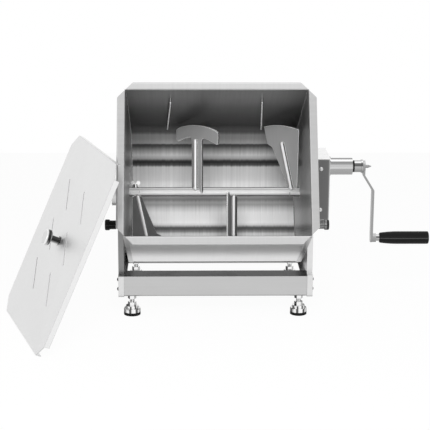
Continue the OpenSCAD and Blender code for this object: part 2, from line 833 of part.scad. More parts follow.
module paddle_end() {
    w = blade_r - 8;
    difference() {
        translate([end_x, 0, 0]) rotate([0, -end_lean, 0]) {
            pitched() {
                polygon([
                    [4 - fan_in, 2 * w], [-fan_in, w - 6], [-fan_in, w - fan_h], [4 - fan_in, w - fan_h - 4],
                    [-(fan_in + fan_neck) / 2, w - fan_h - 10], [-fan_neck, fan_neck_z],
                    [-fan_foot, shaft_d / 2 - 2],
                    [fan_foot_out, shaft_d / 2 - 2], [fan_in + 18, w + 10], [fan_in + 18, 2 * w]]);
            }
            paddle_rod(blade_r - 40);
        }
        swept(shaft_d / 2);
        difference() {
            swept(3 * blade_r);
            swept(blade_r);
        }
        translate([half_l - end_gap, -2 * tank_r, -2 * tank_r]) cube([tank_r, 4 * tank_r, 4 * tank_r]);
        // room for the stub's half of the lap joint
        translate([0, -2 * tank_r, -2 * tank_r]) cube([2 * half_l, 4 * tank_r, 2 * tank_r + 1]);
    }
}
module paddle_mid_left() { color("silver") turned() translate([-mid_x, 0, 0]) paddle_mid(); }
module paddle_mid_right() {
    color("silver") turned() rotate([0, 180, 0]) translate([-mid_x, 0, 0]) paddle_mid();
}
module paddle_end_right() { color("silver") turned() paddle_end(); }
module paddle_end_left() { color("silver") turned() rotate([0, 180, 0]) paddle_end(); }
module wing_screw() {
    z = shaft_d / 2 + 0.4;
    color("white") turned() translate([-end_x, 0, 0]) {
        translate([0, 0, -shaft_d / 2 + 2]) cylinder(d = wing_d, h = shaft_d, $fn = 48);
        translate([0, 0, z]) cylinder(d1 = 2 * wing_d, d2 = 1.6 * wing_d, h = 7, $fn = 48);
        for (s = [-1, 1])
            translate([s * (wing_span / 2 - 5), 1.5, z + 10]) rotate([90, 0, 0])
                cylinder(r = 5, h = 3, $fn = 48);
        translate([5 - wing_span / 2, -1.5, z + 2]) cube([wing_span - 10, 3, 7]);
    }
}

// Crank
module crank_shaft() {
    tip = crank_d / 2;
    color("silver") at_crank() {
        bar_x(crank_d, frame_x + 2, eye_x);
        bar_x(tip, eye_x - eps, eye_x + arm_t + crank_end);
        translate([eye_x + arm_t + crank_end - eps, 0, 0]) rotate([0, 90, 0])
            cylinder(d1 = tip, d2 = 1.5, h = tip, $fn = 48);
    }
}
module crank_collar() {
    color("silver") at_crank() {
        ring_x(collar_d, crank_d + 2 * seat, collar_x, eye_x - seat);
        ring_x(collar_d + 4, crank_d + 2 * seat, eye_x - 4, eye_x - seat);
    }
}
module crank_arm() {
    h = arm_t / 2;
    b = h * tan(atan2(arm_step, arm_bend_2 - arm_bend_1) / 2);
    color("silver") at_crank() difference() {
        union() {
            translate([0, arm_w / 2, 0]) rotate([90, 0, 0]) linear_extrude(arm_w) polygon([
                [arm_x0 - h, 0], [arm_x0 - h, -arm_bend_1 - b], [arm_x1 - h, -arm_bend_2 - b],
                [arm_x1 - h, -crank_r], [arm_x1 + h, -crank_r], [arm_x1 + h, -arm_bend_2 + b],
                [arm_x0 + h, -arm_bend_1 + b], [arm_x0 + h, 0]]);
            bar_x(collar_d, eye_x, eye_x + arm_t + 1);
            translate([0, 0, -crank_r]) {
                bar_x(arm_w, arm_x1 - h, arm_x1 + h);
                bar_x(boss_d, arm_x1, boss_x);
            }
        }
        bar_x(crank_d / 2 + 2 * seat, eye_x - 1, arm_x1);
        translate([0, 0, -crank_r]) bar_x(pin_d + 2 * seat, arm_x1 - arm_t, boss_x + 1);
    }
}
module grip_pin() {
    color("gainsboro") at_crank() translate([0, 0, -crank_r]) {
        bar_x(pin_d, arm_x1 - arm_t / 2, grip_x + grip_l - 5);
        bar_x(pin_d + 5, boss_x + seat, grip_x - 0.4);
        bar_x(pin_d + 8, grip_x + grip_l - 8, grip_x + grip_l - 4);
    }
}
module grip() {
    r1 = grip_d1 / 2;
    r2 = grip_d2 / 2;
    f = 3;
    bow = (grip_swell * grip_swell + (r2 - r1) * (r2 - r1)) / 2 / (r2 - r1);
    color("black") at_crank() translate([grip_x, 0, -crank_r])
        rotate([0, 90, 0]) rotate_extrude() difference() {
        union() {
            // the swelling near the arm, on an arc that meets the straight part level
            intersection() {
                translate([0, 1]) square([r2, grip_swell]);
                translate([r2 - bow, grip_swell]) circle(bow, $fn = 128);
            }
            translate([0, grip_swell - 1]) square([r2, grip_l - grip_swell - f + 1]);
            translate([0, grip_l - f - 1]) square([r2 - f, f + 1]);
            translate([r2 - f, grip_l - f]) circle(f, $fn = 48);
            square([r1 - 1, 2]);
        }
        translate([-50, -1]) square([50 + pin_d / 2 + run_fit, grip_l + 2]);
        translate([0, grip_l - 8.4]) square([pin_d / 2 + 4.4, 10]);
    }
}

// Tilt locks
module lock_pin(out) { at_lock() bar_x(lock_d, lock_tip + out, knob_in + out + 18); }
module lock_knob(out) {
    at_lock() translate([knob_in + out, 0, 0]) rotate([0, 90, 0]) rotate_extrude() difference() {
        union() {
            square([neck_d / 2, 15]);
            translate([0, 14.5]) square([knob_d / 2 - 3, 12]);
            translate([0, 17.5]) square([knob_d / 2, 6]);
            for (z = [17.5, 23.5]) translate([knob_d / 2 - 3, z]) circle(3, $fn = 48);
        }
        translate([-50, -1]) square([50 + lock_d / 2, 19]);
        translate([-50, -1]) square([50, 40]);
    }
}
module lock_pin_left() { color("silver") mirror([1, 0, 0]) lock_pin(0); }
module lock_knob_left() { color("black") mirror([1, 0, 0]) lock_knob(0); }
module lock_pin_right() { color("silver") lock_pin(lock_travel); }
module lock_knob_right() { color("black") lock_knob(lock_travel); }

// Lid, standing on the floor beside the mixer; its own X runs up the sheet, Z out of its face
module standing() {
    translate([-lid_left, -lid_front, lid_fold * cos(lid_lean)])
        rotate([0, 0, lid_yaw]) rotate([0, -lid_lean, 0]) children();
}
module lid_area(l, w, c) {
    polygon([[c, 0], [l - c, 0], [l, c], [l, w - c], [l - c, w], [c, w], [0, w - c], [0, c]]);
}
module lid_panel() {
    color("silver") standing() {
        translate([0, 0, -lid_t]) linear_extrude(lid_t) difference() {
            lid_area(lid_l, lid_w, lid_cut);
            for (i = [-1:1], j = [-1, 1])
                translate([lid_l / 2 + i * lid_slot_x, lid_w / 2 + j * lid_slot_y / 2]) rotate(45) {
                    square([lid_slot_l - lid_slot_w, lid_slot_w], center = true);
                    for (s = [-1, 1])
                        translate([s * (lid_slot_l - lid_slot_w) / 2, 0]) circle(d = lid_slot_w, $fn = 32);
                }
            translate([lid_l / 2, lid_w / 2]) circle(d = 5 + 2 * seat);
        }
        for (y = [0, lid_w - lid_t])
            translate([lid_cut, y, -lid_fold]) cube([lid_l - 2 * lid_cut, lid_t, lid_fold]);
        for (x = [0, lid_l - lid_t])
            translate([x, lid_cut, -lid_fold]) cube([lid_t, lid_w - 2 * lid_cut, lid_fold]);
    }
}
module lid_knob() {
    r = lid_knob_d / 2;
    h = lid_knob_h;
    color("gainsboro") standing() translate([lid_l / 2, lid_w / 2, seat]) rotate_extrude() difference() {
        union() {
            square([r * 0.45, h - 6]);
            square([r * 0.62, 3]);
            translate([0, h - 14]) square([r - 5, 14]);
            translate([0, h - 9]) square([r, 4]);
            for (z = [h - 9, h - 5]) translate([r - 5, z]) circle(5, $fn = 48);
        }
        square([2.5, 12]);
    }
}
module lid_screw() {
    color("gray") standing() translate([lid_l / 2, lid_w / 2, 0]) {
        translate([0, 0, -lid_t - seat]) cylinder(d = 5, h = 12, $fn = 48);
        translate([0, 0, -lid_t - seat - 3]) cylinder(d = 10, h = 3, $fn = 48);
    }
}

side_frame_left();
side_frame_right();
front_rail();
rear_rail();
rail_bolts();
foot_studs();
foot_nuts();
foot_cups();
foot_pads();
frame_bush_left();
frame_bush_right();
pivot_cap();
cap_screws();
lock_barrel_left();
lock_barrel_right();
gear_plate();
plate_screws();
gear_cover();
cover_screws();
crank_housing();
crank_bush_inner();
crank_bush_outer();
tank_rear_wall();
tank_trough();
tank_end_left();
tank_end_right();
pivot_disc_left();
pivot_disc_right();
breaker_bars();
shaft_bush_left();
shaft_bush_right();
agitator_shaft();
paddle_end_left();
paddle_mid_left();
paddle_mid_right();
paddle_end_right();
idle_stub();
drive_stub();
drive_gear();
gear_nut();
wing_screw();
crank_shaft();
crank_pinion();
crank_collar();
crank_arm();
grip_pin();
grip();
lock_pin_left();
lock_knob_left();
lock_pin_right();
lock_knob_right();
lid_panel();
lid_knob();
lid_screw();
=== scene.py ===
"""The hand-cranked meat mixer: finishes with painted light, shade and reflections, welds and threads, a white
studio and the photograph's view.

Lengths are metres in the mixer's own frame: X along the agitator to the crank, Y to the back, Z up.
"""

import json
import math

import bmesh
import bpy
from mathutils import Matrix, Vector


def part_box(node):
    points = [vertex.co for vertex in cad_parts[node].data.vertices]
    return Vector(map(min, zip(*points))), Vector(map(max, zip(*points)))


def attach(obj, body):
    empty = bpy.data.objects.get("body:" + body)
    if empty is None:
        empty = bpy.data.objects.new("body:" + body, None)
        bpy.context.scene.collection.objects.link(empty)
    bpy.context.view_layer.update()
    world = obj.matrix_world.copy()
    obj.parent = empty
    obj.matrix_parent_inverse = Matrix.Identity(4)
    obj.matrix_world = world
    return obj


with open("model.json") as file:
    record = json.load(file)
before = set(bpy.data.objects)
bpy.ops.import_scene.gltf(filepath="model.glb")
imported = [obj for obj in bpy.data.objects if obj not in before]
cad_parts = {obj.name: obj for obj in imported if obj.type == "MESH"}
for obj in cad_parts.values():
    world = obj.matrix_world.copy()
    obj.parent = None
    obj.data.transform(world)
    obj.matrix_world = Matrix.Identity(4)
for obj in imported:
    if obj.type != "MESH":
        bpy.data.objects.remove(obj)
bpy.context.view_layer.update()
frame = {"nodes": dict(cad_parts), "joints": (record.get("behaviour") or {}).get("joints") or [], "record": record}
nodes = frame["nodes"]
joints = {joint["name"]: joint for joint in frame["joints"]}

# The axis that the tank and the agitator share, the tank's tip and the agitator's turn from upright
AXIS = Vector(joints["tank_tilt"]["pos_m"])
TILT = math.radians(-joints["tank_tilt"]["range_deg"][0])
WING_UP = joints["wing_screw_turn"]["axis"]
TURN = math.atan2(WING_UP[1], WING_UP[2])

# The tank: inner radius, thickness of its sheet, height of the mouth over the axis, half the inner length
TANK_R = 0.164
SHEET = 0.0015
MOUTH_H = 0.282
HALF_TANK = 0.202

MILLIMETRES = 1000.0  # in a metre
DEGREES = 180 / math.pi  # in a radian
WHITE = (1, 1, 1, 1)


# Node trees


def add(tree, kind, inputs=None, **settings):
    """Adds a shader node, fills its sockets and returns it."""
    node = tree.nodes.new("ShaderNode" + kind)
    for name, value in settings.items():
        setattr(node, name, value)
    for name, value in (inputs or {}).items():
        socket = node.inputs[name]
        if isinstance(value, bpy.types.NodeSocket):
            tree.links.new(value, socket)
        else:
            socket.default_value = value
    return node


def maths(tree, operation, *values, clamp=False):
    """One arithmetic step; gives its output."""
    return add(tree, "Math", dict(enumerate(values)), operation=operation, use_clamp=clamp).outputs[0]


def vector_maths(tree, operation, *values):
    """One step on vectors; gives its output."""
    return add(tree, "VectorMath", dict(enumerate(values)), operation=operation).outputs[0]


def total(tree, *values):
    """The sum of several values."""
    result = values[0]
    for value in values[1:]:
        result = maths(tree, "ADD", result, value)
    return result


def times(tree, first, second):
    """The product of two values."""
    return maths(tree, "MULTIPLY", first, second)


def shade(seen):
    """The surface colour that shows as a grey from 0 to 255."""
    value = seen / 255
    return value / 12.92 if value <= 0.04045 else ((value + 0.055) / 1.055) ** 2.4


def ramp(tree, value, stops, low=0.0, high=1.0):
    """Greys along a value that runs from low to high; stops are (value, grey from 0 to 255)."""
    place = maths(tree, "DIVIDE", maths(tree, "SUBTRACT", value, low), high - low)
    node = add(tree, "ValToRGB", {"Fac": place})
    marks = node.color_ramp.elements
    marks.remove(marks[1])
    for i, (at, seen) in enumerate(stops):
        part = (at - low) / (high - low)
        mark = marks.new(part) if i else marks[0]
        mark.position = part
        mark.color = (shade(seen), shade(seen), shade(seen), 1)
    return node.outputs["Color"]


def mix(tree, factor, first, second):
    """A blend of two colours."""
    node = add(tree, "Mix", data_type="RGBA")
    for socket, value in ((0, factor), (6, first), (7, second)):
        if isinstance(value, bpy.types.NodeSocket):
            tree.links.new(value, node.inputs[socket])
        else:
            node.inputs[socket].default_value = value
    return node.outputs[2]


def group(name, inputs, outputs):
    """A new shader node group with named sockets; gives the tree, its inputs and its outputs."""
    tree = bpy.data.node_groups.new(name, "ShaderNodeTree")
    for way, sockets in (("INPUT", inputs), ("OUTPUT", outputs)):
        for label, kind, *value in sockets:
            socket = tree.interface.new_socket(name=label, in_out=way, socket_type="NodeSocket" + kind)
            if value:
                socket.default_value = value[0]
    return tree, tree.nodes.new("NodeGroupInput").outputs, tree.nodes.new("NodeGroupOutput").inputs


def use(tree, made, inputs):
    """Places a node group in a material and gives its outputs."""
    node = tree.nodes.new("ShaderNodeGroup")
    node.node_tree = made
    for name, value in inputs.items():
        if isinstance(value, bpy.types.NodeSocket):
            tree.links.new(value, node.inputs[name])
        else:
            node.inputs[name].default_value = value
    return node.outputs


def make_brush_lines():
    """Parallel lines of brushed or turned metal, fine and coarse, with a broad drift of tone."""
    tree, given, out = group(
        "Brush lines",
        [("Vector", "Vector"), ("Stretch", "Vector", (1200, 12, 12)), ("Contrast", "Float", 0.1),
         ("Drift", "Float", 0.05)],
        [("Tone", "Float"), ("Height", "Float"), ("Ragged", "Float")],
    )
    stretched = vector_maths(tree, "MULTIPLY", given["Vector"], given["Stretch"])
    hairs = {"Vector": stretched, "Scale": 1.0, "Detail": 3.0, "Roughness": 0.65}
    fine = add(tree, "TexNoise", hairs).outputs[0]
    coarse = add(tree, "TexNoise", {"Vector": stretched, "Scale": 0.22, "Detail": 2.0}).outputs[0]
    broad = add(tree, "TexNoise", {"Vector": given["Vector"], "Scale": 9.0, "Detail": 2.0}).outputs[0]
    both = total(tree, times(tree, fine, 0.6), coarse)
    lines = times(tree, maths(tree, "SUBTRACT", both, 0.8), given["Contrast"])
    drift = times(tree, maths(tree, "SUBTRACT", broad, 0.5), given["Drift"])
    tree.links.new(total(tree, lines, drift, 1.0), out["Tone"])
    tree.links.new(fine, out["Height"])
    tree.links.new(maths(tree, "SUBTRACT", coarse, 0.5), out["Ragged"])
    return tree


def make_handling_marks():
    """Smears and fingerprints: patches where the sheen is duller."""
    tree, given, out = group(
        "Handling marks",
        [("Vector", "Vector"), ("Size", "Float", 14.0), ("Cover", "Float", 0.4)],
        [("Mask", "Float")],
    )
    blots = {"Vector": given["Vector"], "Scale": given["Size"], "Detail": 5.0, "Distortion": 0.6}
    patch = add(tree, "TexNoise", blots).outputs[0]
    low = maths(tree, "SUBTRACT", 0.75, times(tree, given["Cover"], 0.5))
    above = maths(tree, "SUBTRACT", patch, low)
    tree.links.new(maths(tree, "MULTIPLY", above, 5.0, clamp=True), out["Mask"])
    return tree


def make_painted_edge():
    """A mask along sharp edges, broken up by noise, that paints a highlight along them, and shade where its share
    is below 0; and the rounded edges' normal.
    """
    tree, given, out = group(
        "Painted edge light and shade",
        [("Vector", "Vector"), ("Width", "Float", 0.0008), ("Break", "Float", 0.5)],
        [("Mask", "Float"), ("Normal", "Vector")],
    )
    rounded = add(tree, "Bevel", {"Radius": given["Width"]}, samples=4).outputs[0]
    flat = add(tree, "NewGeometry").outputs["Normal"]
    turn = add(tree, "VectorMath", {0: rounded, 1: flat}, operation="DOT_PRODUCT").outputs["Value"]
    edge = maths(tree, "MULTIPLY", maths(tree, "SUBTRACT", 1.0, turn), 6.0, clamp=True)
    noise = add(tree, "TexNoise", {"Vector": given["Vector"], "Scale": 160.0, "Detail": 3.0}).outputs[0]
    broken = maths(tree, "SUBTRACT", 1.0, times(tree, noise, given["Break"]))
    tree.links.new(times(tree, edge, broken), out["Mask"])
    tree.links.new(rounded, out["Normal"])
    return tree


def make_tank_place():
    """Turns the mixer's coordinates into the tank's own: along it, to its rear wall and to its mouth."""
    tree, given, out = group(
        "Tank place",
        [("Vector", "Vector")],
        [("Place", "Vector"), ("Along", "Float"), ("Angle", "Float"), ("Radius", "Float"),
         ("Height", "Float"), ("Across", "Float")],
    )
    upright_again = {"Vector": given["Vector"], "Center": AXIS, "Angle": -TILT}
    turned = add(tree, "VectorRotate", upright_again, rotation_type="X_AXIS").outputs[0]
    local = vector_maths(tree, "SUBTRACT", turned, AXIS)
    parts = add(tree, "SeparateXYZ", {"Vector": local}).outputs
    below = times(tree, parts["Z"], -1.0)
    angle = times(tree, maths(tree, "ARCTAN2", below, parts["Y"]), DEGREES)
    flat = total(tree, times(tree, parts["Y"], parts["Y"]), times(tree, below, below))
    tree.links.new(local, out["Place"])
    tree.links.new(parts["X"], out["Along"])
    tree.links.new(angle, out["Angle"])
    tree.links.new(maths(tree, "SQRT", flat), out["Radius"])
    tree.links.new(parts["Z"], out["Height"])
    tree.links.new(parts["Y"], out["Across"])
    return tree


def make_facing():
    """The way a face looks: degrees up from the front around the shaft's line, the share towards
    the crank's side, and how far it faces the front, the back, the top, the floor and the sides."""
    tree, given, out = group(
        "Facing", [("Normal", "Vector")],
        [("Roll", "Float"), ("Side", "Float"), ("Front", "Float"), ("Back", "Float"),
         ("Top", "Float"), ("Under", "Float"), ("Sides", "Float")],
    )
    parts = add(tree, "SeparateXYZ", {"Vector": given["Normal"]}).outputs
    front = times(tree, parts["Y"], -1.0)
    roll = times(tree, maths(tree, "ARCTAN2", parts["Z"], front), DEGREES)
    tree.links.new(roll, out["Roll"])
    tree.links.new(parts["X"], out["Side"])
    under = times(tree, parts["Z"], -1.0)
    for label, value in (("Front", front), ("Back", parts["Y"]), ("Top", parts["Z"]), ("Under", under)):
        towards = maths(tree, "MAXIMUM", value, 0.0)
        tree.links.new(times(tree, towards, towards), out[label])
    tree.links.new(times(tree, parts["X"], parts["X"]), out["Sides"])
    return tree


BRUSH = make_brush_lines()
MARKS = make_handling_marks()
PAINTED_EDGE = make_painted_edge()
PLACE = make_tank_place()
FACING = make_facing()


# Finishes, whose greys hold painted light, shade and reflections

# The relief of brush lines
LINE_STRENGTH = 0.05
LINE_DEPTH = 0.0002

# Bars and plates: the drift of their tone, how much rougher their smears and light lines are, and
# the least roughness
BAR_DRIFT = 0.06
BAR_SMEARS = 0.08
BAR_STREAKS = 0.4
LEAST_ROUGHNESS = 0.02

# The tank's sheets: their sheen, how rough they are and how much rougher their smears are, how much
# paler their edges are with a painted highlight, and how much of the brush lines shows outside
SHEET_GLOSS = 0.15
SHEET_ROUGHNESS = 0.3
SHEET_SMEARS = 0.06
SHEET_EDGE = 0.25
OUTSIDE_LINES = 0.25


def start(name, **fixed):
    """A material with a Principled shader whose own sockets hold the fixed values."""
    material = bpy.data.materials.new(name)
    material.use_nodes = True
    tree = material.node_tree
    shader = tree.nodes["Principled BSDF"]
    for socket, value in fixed.items():
        shader.inputs[socket.replace("_", " ")].default_value = value
    return material, tree, shader, add(tree, "TexCoord").outputs


def scaled(tree, colour, tone):
    """A colour made lighter or darker by a tone around 1."""
    return add(tree, "VectorMath", {0: colour, "Scale": tone}, operation="SCALE").outputs[0]


def relief(tree, height, strength, depth, normal):
    """A bump from a height; gives the normal."""
    bump = {"Height": height, "Strength": strength, "Distance": depth, "Normal": normal}
    return add(tree, "Bump", bump).outputs["Normal"]


def light_and_shade_by_face(tree, where, front, back, top, under, sides):
    """Painted light and shade: a grey for each way that a face can look, blended round the bends."""
    facing = use(tree, FACING, {"Normal": where["Normal"]})
    greys = {"Front": front, "Back": back, "Top": top, "Under": under, "Sides": sides}
    return total(tree, *[times(tree, facing[label], shade(seen)) for label, seen in greys.items()])


def reflections_by_roll(tree, where, bands):
    """Painted reflections in bands along a round bar that lies across the mixer; angles run up from the front."""
    facing = use(tree, FACING, {"Normal": where["Normal"]})
    return ramp(tree, facing["Roll"], bands, -180.0, 180.0)


def reflections_by_side(tree, where, bands):
    """Painted reflections in bands along an upright bar, from its left side at -1 to its right side at 1."""
    facing = use(tree, FACING, {"Normal": where["Normal"]})
    return ramp(tree, facing["Side"], bands, -1.0, 1.0)


def brushed(name, paint, roughness, stretch, contrast=0.1, marks=0.35, edge=0.15, width=0.0008, metal=1.0):
    """Metal whose grey, with its painted light, shade and reflections, comes from paint(tree, where), with brush
    lines, smears and a painted highlight along its edges.

    Stretch is how fine the lines are along each axis; an edge below 0 paints shade along the edges instead of a
    highlight.
    """
    material, tree, shader, where = start(name, Metallic=metal)
    place = where["Object"]
    scratches = {"Vector": place, "Stretch": stretch, "Contrast": contrast, "Drift": BAR_DRIFT}
    lines = use(tree, BRUSH, scratches)
    smear = use(tree, MARKS, {"Vector": place, "Cover": marks})["Mask"]
    painted_edge = use(tree, PAINTED_EDGE, {"Vector": place, "Width": width})
    # The painted highlight along the edges, and painted shade there where edge is below 0
    tone = total(tree, lines["Tone"], times(tree, painted_edge["Mask"], edge))
    tree.links.new(scaled(tree, paint(tree, where), tone), shader.inputs["Base Color"])
    streak = times(tree, maths(tree, "SUBTRACT", lines["Tone"], 1.0), BAR_STREAKS)
    rough = total(tree, times(tree, smear, BAR_SMEARS), streak, roughness)
    tree.links.new(maths(tree, "MAXIMUM", rough, LEAST_ROUGHNESS), shader.inputs["Roughness"])
    bumped = relief(tree, lines["Height"], LINE_STRENGTH, LINE_DEPTH, painted_edge["Normal"])
    tree.links.new(bumped, shader.inputs["Normal"])
    return material


# Painted reflections: bands of light and dark that the sheet would mirror, painted into its grey.
# On the rear wall they go by millimetres above the axis; on the rounded sheet by degrees down and
# forward from the wall's foot, first on the part behind the lapped seam, then on the trough.
MOUTH_TOP = MOUTH_H * MILLIMETRES
WALL_BANDS = ((0, 16), (40, 22), (90, 44), (140, 74), (190, 110), (230, 124), (MOUTH_TOP, 124))
REAR_BANDS = ((0, 26), (4, 56), (9, 80), (14, 88), (16.5, 118), (19, 156), (24, 160), (28.5, 180))
TROUGH_BANDS = (
    (28, 180), (30.4, 178), (31.4, 74), (34, 98), (38, 172), (43, 232), (46.5, 196), (48.5, 80),
    (50, 58), (53, 100), (54.7, 226), (58, 226), (66, 214), (69, 222), (73, 238), (75, 255),
    (79, 176), (83.5, 130), (86, 176), (88, 166), (91, 215), (95, 250), (99, 255), (104, 255),
    (106.5, 225), (109, 90), (111, 92), (113.5, 140), (115.7, 210), (122, 235), (150, 235), (180, 190),
)

# Painted light and shade on the trough's front wall, by millimetres above the axis, and on the inside of the end
# plates
FRONT_BANDS = ((0, 190), (140, 200), (MOUTH_TOP, 205))
END_BANDS = ((-165, 200), (-120, 196), (-60, 182), (0, 158), (60, 122), (160, 96), (MOUTH_TOP, 132))

# How much of a mirror the rounded sheet is: least where it would only mirror the dark rear wall; and
# how much less the end plates mirror inside than outside
MIRROR_BANDS = ((0, 158), (60, 158), (70, 60), (122, 50), (180, 158))
END_DULLED = 0.75

# The plain flange at the mouth, and the slack that a face is found with
FLANGE = 0.0045
SLACK = 0.0002
PLATE_SLACK = 0.0005


def inside_of_tank(tree, place):
    """1 on the faces that look into the tank and 0 outside; and 1 on the straight walls, 0 on the round."""
    middle = TANK_R + SHEET / 2
    straight = maths(tree, "GREATER_THAN", place["Height"], 0.0)
    on_round = maths(tree, "LESS_THAN", place["Radius"], middle)
    on_wall = maths(tree, "LESS_THAN", maths(tree, "ABSOLUTE", place["Across"]), middle)
    below_rim = maths(tree, "LESS_THAN", place["Height"], MOUTH_H - FLANGE)
    on_walls = times(tree, times(tree, on_wall, straight), below_rim)
    return maths(tree, "MAXIMUM", on_round, on_walls), straight


def calmed(tree, tone, inside):
    """The brush lines, full inside the tank and faint outside."""
    share = total(tree, times(tree, inside, 1 - OUTSIDE_LINES), OUTSIDE_LINES)
    return total(tree, times(tree, maths(tree, "SUBTRACT", tone, 1.0), share), 1.0)


def start_sheet(name, stretch, contrast, drift):
    """What the tank's sheets share: their place, brush lines, the mask of the painted highlight along their edges,
    smears and relief.
    """
    material, tree, shader, where = start(name, Specular_IOR_Level=SHEET_GLOSS)
    place = use(tree, PLACE, {"Vector": where["Object"]})
    scratches = {"Vector": place["Place"], "Stretch": stretch, "Contrast": contrast, "Drift": drift}
    lines = use(tree, BRUSH, scratches)
    smear = use(tree, MARKS, {"Vector": where["Object"], "Cover": 0.35})["Mask"]
    painted_edge = use(tree, PAINTED_EDGE, {"Vector": where["Object"]})
    rough = total(tree, times(tree, smear, SHEET_SMEARS), SHEET_ROUGHNESS)
    bumped = relief(tree, lines["Height"], LINE_STRENGTH, LINE_DEPTH, painted_edge["Normal"])
    tree.links.new(rough, shader.inputs["Roughness"])
    tree.links.new(bumped, shader.inputs["Normal"])
    return material, tree, shader, where, place, lines, painted_edge


def paint_sheet(tree, shader, lines, painted_edge, inside, outer, inner):
    """Gives a sheet its outer and inner grey, which hold painted light, shade and reflections, with brush lines
    and a painted highlight along its edges.
    """
    tone = total(tree, calmed(tree, lines["Tone"], inside), times(tree, painted_edge["Mask"], SHEET_EDGE))
    colour = mix(tree, inside, outer, inner)
    tree.links.new(scaled(tree, colour, tone), shader.inputs["Base Color"])


def tank_sheet(name, round_bands, wall_bands):
    """The wrapped sheet: brushed round the trough, with painted reflections inside, bands of light and dark
    painted into its grey, and painted light and shade outside.
    """
    material, tree, shader, where, place, lines, painted_edge = start_sheet(
        name, (900, 14, 14), contrast=0.3, drift=0.1
    )
    inside, straight = inside_of_tank(tree, place)
    height = times(tree, place["Height"], MILLIMETRES)
    angle = total(tree, place["Angle"], times(tree, lines["Ragged"], 1.5))
    on_round = ramp(tree, angle, round_bands, round_bands[0][0], round_bands[-1][0])
    on_wall = ramp(tree, height, wall_bands, 0.0, MOUTH_TOP)
    # Painted light and shade on the outside, by the way each face looks
    outer = light_and_shade_by_face(tree, where, 208, 180, 206, 230, 200)
    paint_sheet(tree, shader, lines, painted_edge, inside, outer, mix(tree, straight, on_round, on_wall))
    mirror = ramp(tree, angle, MIRROR_BANDS, 0.0, 180.0)
    tree.links.new(mix(tree, inside, WHITE, mirror), shader.inputs["Metallic"])
    return material


def end_sheet():
    """The end plates: painted light and shade inside, dark near the mouth and lighter by the trough, and painted
    light and shade by the way each face looks outside.
    """
    material, tree, shader, where, place, lines, painted_edge = start_sheet(
        "tank end sheet", (14, 700, 14), contrast=0.5, drift=0.3
    )
    along = maths(tree, "ABSOLUTE", place["Along"])
    across = maths(tree, "ABSOLUTE", place["Across"])
    near_face = maths(tree, "LESS_THAN", along, HALF_TANK + SHEET / 2)
    past_edge = maths(tree, "GREATER_THAN", along, HALF_TANK - PLATE_SLACK)
    within = maths(tree, "LESS_THAN", across, TANK_R + SLACK)
    inside = times(tree, times(tree, near_face, within), past_edge)
    height = times(tree, place["Height"], MILLIMETRES)
    inner = ramp(tree, height, END_BANDS, END_BANDS[0][0], MOUTH_TOP)
    outer = light_and_shade_by_face(tree, where, 192, 175, 205, 190, 200)
    paint_sheet(tree, shader, lines, painted_edge, inside, outer, inner)
    mirror = maths(tree, "SUBTRACT", 1.0, times(tree, inside, END_DULLED))
    tree.links.new(mirror, shader.inputs["Metallic"])
    return material


def plastic(name, paint, roughness, gloss, grain=900.0, depth=0.0001):
    """Moulded plastic or rubber: a grey with painted light and shade, a fine grain, smears and a painted highlight
    along its edges.
    """
    material, tree, shader, where = start(name, Specular_IOR_Level=gloss)
    place = where["Object"]
    grainy = add(tree, "TexNoise", {"Vector": place, "Scale": grain, "Detail": 2.0}).outputs[0]
    smear = use(tree, MARKS, {"Vector": place, "Cover": 0.5})["Mask"]
    painted_edge = use(tree, PAINTED_EDGE, {"Vector": place, "Width": 0.001})
    tone = total(tree, 0.92, times(tree, grainy, 0.16), times(tree, painted_edge["Mask"], 0.8))
    tree.links.new(scaled(tree, paint(tree, where), tone), shader.inputs["Base Color"])
    tree.links.new(total(tree, times(tree, smear, 0.12), roughness), shader.inputs["Roughness"])
    tree.links.new(relief(tree, grainy, 0.25, depth, painted_edge["Normal"]), shader.inputs["Normal"])
    return material


def faces(*greys):
    """Painted light and shade by the way a face looks: front, back, top, under, sides."""
    return lambda tree, where: light_and_shade_by_face(tree, where, *greys)


def rolled_reflections(*bands):
    """Painted reflections in bands along a bar that lies across the mixer."""
    return lambda tree, where: reflections_by_roll(tree, where, bands)


def upright(*bands):
    """Painted reflections in bands along an upright bar."""
    return lambda tree, where: reflections_by_side(tree, where, bands)


# Painted reflections: bands of light and dark painted along the bars, by degrees up from the front; the grip's is
# a painted highlight line
SHAFT_BANDS = (
    (-180, 120), (-90, 24), (-50, 24), (-38, 120), (-26, 225), (-8, 255), (10, 235), (18, 205),
    (46, 205), (54, 255), (72, 255), (79, 80), (100, 80), (180, 120),
)
HOUSING_BANDS = (
    (-180, 130), (-80, 150), (-6, 170), (-1, 215), (12, 196), (19, 202), (26, 169), (33, 141), (41, 118),
    (46, 150), (50, 215), (56, 255), (62, 255), (70, 140), (80, 150), (105, 130), (180, 130),
)
COLLAR_BANDS = (
    (-180, 120), (-75, 110), (-45, 140), (2, 180), (10, 178), (14, 96), (42, 104), (50, 225), (66, 235),
    (72, 170), (105, 160), (180, 130),
)
NECK_BANDS = (
    (-180, 60), (-50, 60), (-30, 120), (-5, 150), (5, 60), (12, 170), (50, 150), (60, 220), (80, 120),
    (180, 60),
)
GRIP_BANDS = ((-180, 14), (-40, 16), (2, 20), (7, 76), (12, 26), (40, 16), (180, 14))

